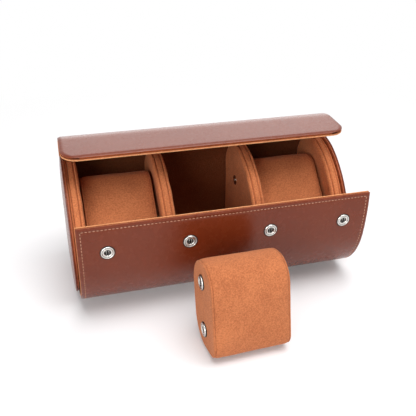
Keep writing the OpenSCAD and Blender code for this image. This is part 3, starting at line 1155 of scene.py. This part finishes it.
# Slot 1 is painted shade: the narrow groove, a flat disc for the hole's dark depth, and a ring
# round the socket for the shadow of the sunk leather.
SOCKET_SLOTS = (0, 1, 0, 1, 1)
STUD = (
    (0.0, 0.7),
    (0.9, 0.68),
    (1.5, 0.58),
    (1.8, 0.45),
    (1.75, 0.36),
    (1.5, 0.3),
    (1.9, 0.22),
    (3.0, 0.26),
    (3.9, 0.3),
    (4.3, 0.2),
    (4.4, 0.0),
    (4.2, -0.1),
)


def spring_wires(bm, matrix):
    """The two wires of the spring that grips a stud, across a socket's hole."""
    for side in (-1, 1):
        made = bmesh.ops.create_cone(
            bm, cap_ends=True, segments=8, radius1=0.14 * MM, radius2=0.14 * MM, depth=4.2 * MM
        )
        place = matrix @ Matrix.Translation(Vector((side * 0.95, 0, 0.2)) * MM)
        laid = place @ Matrix.Rotation(math.pi / 2, 4, "X")
        bmesh.ops.transform(bm, matrix=laid, verts=made["verts"])
        for v in made["verts"]:
            v.tag = True
            for f in v.link_faces:
                f.tag = True


def sockets(bm, matrix):
    for profile, slot in zip(SOCKET, SOCKET_SLOTS):
        before = set(bm.faces)
        spun(bm, profile, matrix, sizes().ring_steps)
        for f in bm.faces:
            if f not in before:
                f.material_index = slot
    spring_wires(bm, matrix)


def studs(bm, matrix):
    spun(bm, STUD, matrix, sizes().ring_steps)


def snaps(half, name, replaced, matrices, body):
    """One object with a socket or a stud at each of the places."""
    bm = bmesh.new()
    for m in matrices:
        half(bm, m)
    obj = new_object(name, bm, ["Nickel", "Snap Painted Shade"] if half is sockets else ["Nickel"])
    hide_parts(replaced)
    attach(obj, body)


def facing_x(side, x, v):
    """Puts a snap on a face square to X, at a height along the cushion's section."""
    turn = Matrix.Rotation(math.radians(90 * side), 4, "Y")
    return Matrix.Translation(Vector((x, 0, v)) * MM) @ turn


class OBJECT_OT_case_snaps(bpy.types.Operator):
    """Makes the snap sockets and studs of the flap, lid, walls and cushions"""

    bl_idname = "travel_case.snaps"
    bl_label = "Snaps"

    def execute(self, context):
        snaps(
            sockets,
            "flap_sockets",
            "flap_snap_sockets",
            [on_section(FLAP_SNAP, FLAP_SNAP_ANGLE, x, 0.08) for x in SNAP_XS],
            "front_flap",
        )
        back = [LID_EDGE[i] - LID_DIR[i] * STUD_FROM_EDGE for i in (0, 1)]
        turn = Matrix.Rotation(math.pi, 4, "X")
        snaps(
            studs,
            "lid_studs",
            "lid_snap_studs",
            [on_section(back, LID_FRONT_ANGLE, x, -PANEL) @ turn for x in SNAP_XS],
            "lid",
        )
        lean = Matrix.Translation(Vector((0, *SEAT)) * MM)
        lean @= Matrix.Rotation(math.radians(-CUSHION_LEAN), 4, "X")
        faces = {
            "wall_studs_left": [(-WALL_X + WALL / 2, 1)],
            "divider_studs_left": [(-DIVIDER_X - WALL / 2, -1), (-DIVIDER_X + WALL / 2, 1)],
            "divider_studs_right": [(DIVIDER_X - WALL / 2, -1), (DIVIDER_X + WALL / 2, 1)],
            "wall_studs_right": [(WALL_X - WALL / 2, -1)],
        }
        for name, sides in faces.items():
            matrices = [
                lean @ facing_x(side, x, v)
                for x, side in sides
                for v in (-CUSHION_SNAP_V, CUSHION_SNAP_V)
            ]
            snaps(studs, f"{name}_turned", name, matrices, "case")
        for name, place in cushion_places().items():
            matrices = [
                place @ facing_x(side, side * CUSHION_LEN / 2, v)
                for side in (-1, 1)
                for v in (-CUSHION_SNAP_V, CUSHION_SNAP_V)
            ]
            piece = f"cushion_{name}"
            snaps(sockets, f"{piece}_sockets", f"{piece}_snaps", matrices, piece)
        return {"FINISHED"}


# Length of one stitch, and where on the flap its seam begins, from the fold
STITCH_LENGTH = 1.9
SEAM_LEAD = 7.0


def seam_on_skin(points, lift, inset, half, pitch, lead):
    """Places of stitches along a skin's two sides and its last edge, inset from them.
    The sides' stitches end at a distance of lead from the skin's start."""
    stop = points[-1][4] - inset

    def at(run):
        for a, b in zip(points, points[1:]):
            if b[4] >= run:
                t = (run - a[4]) / max(1e-9, b[4] - a[4])
                return [a[i] + (b[i] - a[i]) * t for i in range(4)]
        return list(points[-1][:4])

    def frame_at(x, run, along_x):
        y, z, ny, nz = at(run)
        normal = Vector((0, ny, nz)).normalized()
        across = Vector((1, 0, 0))
        along = normal.cross(across)
        axes = (across, along, normal) if along_x else (along, -across, normal)
        m = Matrix(axes).transposed().to_4x4()
        m.translation = Vector((x, y + ny * lift, z + nz * lift)) * MM
        return m

    places = []
    count = int((stop - lead) / pitch)
    for k in range(count):
        run = stop - (k + 0.5) * pitch
        for side in (-1, 1):
            places.append(frame_at(side * (half - inset), run, False))
    count = int(2 * (half - inset) / pitch)
    step = 2 * (half - inset) / count
    for k in range(count):
        places.append(frame_at(-(half - inset) + (k + 0.5) * step, stop, True))
    return places


class OBJECT_OT_case_stitching(bpy.types.Operator):
    """Sews the seam round the flap, on its leather and on its lining"""

    bl_idname = "travel_case.stitching"
    bl_label = "Stitching"

    def execute(self, context):
        pitch = sizes().stitch_pitch / MM
        inset = sizes().stitch_inset / MM
        points = sampled(FLAP, 1.0)
        bm = bmesh.new()
        for lift, width, rise in ((-0.2, 0.62, 0.42), (-PANEL - 0.02, 0.58, 0.36)):
            places = seam_on_skin(points, lift, inset, FLAP_HALF, pitch, SEAM_LEAD)
            stitch_row(bm, places, STITCH_LENGTH, width, rise)
        obj = new_object("flap_stitches", bm, ["Thread"])
        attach(obj, "front_flap")
        return {"FINISHED"}


# The view: lens on its sensor in millimetres, direction in degrees, place in metres
LENS = 51.86
SENSOR = 36
VIEW_YAW = 15.82
VIEW_PITCH = 26.66
VIEW_ROLL = 0.07
VIEW_FROM = (-0.1224, -0.4429, 0.2814)

# The floor lies a little under the table plane and turns white between these distances
FLOOR_DROP = 0.0002
WHITE_FROM = 0.28
WHITE_AT = 0.6


class OBJECT_OT_case_stage(bpy.types.Operator):
    """Sets the camera, the soft studio light and the pale floor"""

    bl_idname = "travel_case.stage"
    bl_label = "Stage"

    def execute(self, context):
        self.add_camera(context.scene)
        self.add_floor(context.scene)
        self.add_world(context.scene)
        self.add_lamps(context.scene)
        context.scene.view_settings.view_transform = "Standard"
        return {"FINISHED"}

    def add_camera(self, scene):
        data = bpy.data.cameras.new("Camera")
        data.lens = LENS
        data.sensor_width = SENSOR
        camera = bpy.data.objects.new("Camera", data)
        scene.collection.objects.link(camera)
        yaw, pitch, roll = (math.radians(a) for a in (VIEW_YAW, VIEW_PITCH, VIEW_ROLL))
        ahead = Vector(
            (math.sin(yaw) * math.cos(pitch), math.cos(yaw) * math.cos(pitch), -math.sin(pitch))
        )
        right = Vector((math.cos(yaw), -math.sin(yaw), 0))
        up = right.cross(ahead)
        turned = Matrix((right, up, -ahead)).transposed().to_4x4()
        turned @= Matrix.Rotation(roll, 4, "Z")
        turned.translation = Vector(VIEW_FROM)
        camera.matrix_world = turned
        scene.camera = camera

    def add_floor(self, scene):
        """A pale floor that takes the shadow and lightens to white away from the case; near the
        case a faint glow is painted light that lightens the shadow.
        """
        bm = bmesh.new()
        bmesh.ops.create_grid(bm, x_segments=2, y_segments=2, size=4)
        mesh = bpy.data.meshes.new("Floor")
        bm.to_mesh(mesh)
        bm.free()
        floor = bpy.data.objects.new("Floor", mesh)
        floor.location.z = -FLOOR_DROP
        scene.collection.objects.link(floor)
        pale = bpy.data.materials.new("Pale Floor")
        pale.use_nodes = True
        shader = pale.node_tree.nodes["Principled BSDF"]
        shader.inputs["Base Color"].default_value = (0.9, 0.89, 0.9, 1)
        shader.inputs["Roughness"].default_value = 0.9
        shader.inputs["Specular IOR Level"].default_value = 0.1
        nodes, links = pale.node_tree.nodes, pale.node_tree.links
        place = nodes.new("ShaderNodeTexCoord")
        far = nodes.new("ShaderNodeVectorMath")
        far.operation = "LENGTH"
        links.new(place.outputs["Object"], far.inputs[0])
        # A glow of 0.15 near the case is painted light that lightens the floor's shadow; it grows
        # to full white far away.
        fading = ramp(pale.node_tree, far.outputs["Value"], WHITE_FROM, WHITE_AT, 0.15, 1.0)
        white = nodes.new("ShaderNodeEmission")
        white.inputs["Strength"].default_value = 1.0
        blank = nodes.new("ShaderNodeMixShader")
        lifted = arithmetic(pale.node_tree, "MULTIPLY", seen_directly(pale.node_tree), fading)
        links.new(lifted, blank.inputs[0])
        links.new(shader.outputs[0], blank.inputs[1])
        links.new(white.outputs[0], blank.inputs[2])
        links.new(blank.outputs[0], nodes["Material Output"].inputs["Surface"])
        mesh.materials.append(pale)

    def add_world(self, scene):
        """White where it is seen or mirrored, and a soft fill elsewhere."""
        world = bpy.data.worlds.new("Studio")
        world.use_nodes = True
        tree = world.node_tree
        background = tree.nodes["Background"]
        background.inputs["Color"].default_value = (1, 1, 1, 1)
        strength = ramp(tree, seen_directly(tree), 0.0, 1.0, 0.3, 1.0)
        tree.links.new(strength, background.inputs["Strength"])
        scene.world = world

    def add_lamps(self, scene):
        lamps = (
            ("Overhead", (0.2, -0.35, 1.3), (0, 0, 0.05), 1.1, 20.0),
            ("Front", (-1.0, -1.1, 0.45), (0, 0, 0.05), 0.8, 9.5),
            ("Back", (0.36, 1.4, 0.7), (0, 0, 0.1), 1.2, 6.5),
        )
        for name, place, target, size, watts in lamps:
            lamp = bpy.data.lights.new(name, "AREA")
            lamp.shape = "SQUARE"
            lamp.size = size
            lamp.energy = watts
            obj = bpy.data.objects.new(name, lamp)
            obj.location = place
            aim = Vector(target) - Vector(place)
            obj.rotation_euler = aim.to_track_quat("-Z", "Y").to_euler()
            scene.collection.objects.link(obj)


class VIEW3D_PT_travel_case(bpy.types.Panel):
    bl_label = "Travel Case"
    bl_idname = "VIEW3D_PT_travel_case"
    bl_space_type = "VIEW_3D"
    bl_region_type = "UI"
    bl_category = "Travel Case"

    def draw(self, context):
        layout = self.layout
        for group in (colours(), sizes()):
            for key in group.__annotations__:
                layout.prop(group, key)
        for step in STEPS:
            layout.operator(step.bl_idname)


STEPS = (
    OBJECT_OT_case_materials,
    OBJECT_OT_case_back_leather,
    OBJECT_OT_case_flap_leather,
    OBJECT_OT_case_panel_linings,
    OBJECT_OT_case_slot_linings,
    OBJECT_OT_case_ends,
    OBJECT_OT_case_walls,
    OBJECT_OT_case_cushions,
    OBJECT_OT_case_snaps,
    OBJECT_OT_case_stitching,
    OBJECT_OT_case_stage,
)
CLASSES = (CaseColours, CaseSizes, *STEPS, VIEW3D_PT_travel_case)


def register():
    for c in CLASSES:
        bpy.utils.register_class(c)
    bpy.types.Scene.travel_case_colours = PointerProperty(type=CaseColours)
    bpy.types.Scene.travel_case_sizes = PointerProperty(type=CaseSizes)


def unregister():
    del bpy.types.Scene.travel_case_sizes
    del bpy.types.Scene.travel_case_colours
    for c in reversed(CLASSES):
        bpy.utils.unregister_class(c)


def main():
    register()
    bpy.ops.travel_case.materials()
    bpy.ops.travel_case.back_leather()
    bpy.ops.travel_case.flap_leather()
    bpy.ops.travel_case.panel_linings()
    bpy.ops.travel_case.slot_linings()
    bpy.ops.travel_case.ends()
    bpy.ops.travel_case.walls()
    bpy.ops.travel_case.cushions()
    bpy.ops.travel_case.snaps()
    bpy.ops.travel_case.stitching()
    bpy.ops.travel_case.stage()
    bpy.context.view_layer.update()


if __name__ == "__main__":
    main()
